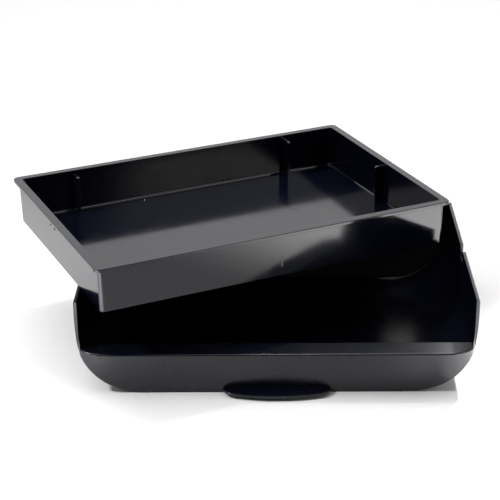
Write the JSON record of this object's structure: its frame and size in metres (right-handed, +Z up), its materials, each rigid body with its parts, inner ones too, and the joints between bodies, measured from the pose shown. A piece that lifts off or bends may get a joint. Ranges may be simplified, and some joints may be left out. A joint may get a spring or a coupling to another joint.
{
  "type": "two-piece moulded tray",
  "caption": "Gloss black two-piece tray: a scoop-shaped pan with a bowed front fascia and finger pull, and a flat rectangular tray lying loose across its walls.",
  "frame": {"origin": "middle of the pan's flat resting face, on the ground", "axes": "+Z up, -Y to the front with the finger pull, +X to the right seen from the front"},
  "size_m": [0.3637, 0.3111, 0.1045],
  "materials": {
    "pan_plastic": "gloss moulded black plastic",
    "fascia_plastic": "gloss moulded black plastic",
    "tray_plastic": "gloss moulded black plastic"
  },
  "bodies": {
    "pan": {"pan_shell": "pan_plastic", "front_fascia": "fascia_plastic"},
    "tray": {"upper_tray": "tray_plastic"}
  },
  "joints": [
    {"name": "tray_lift", "type": "slide", "parent": "pan", "child": "tray", "axis": [0, 0, 1], "range_m": [0, 0.12]}
  ]
}
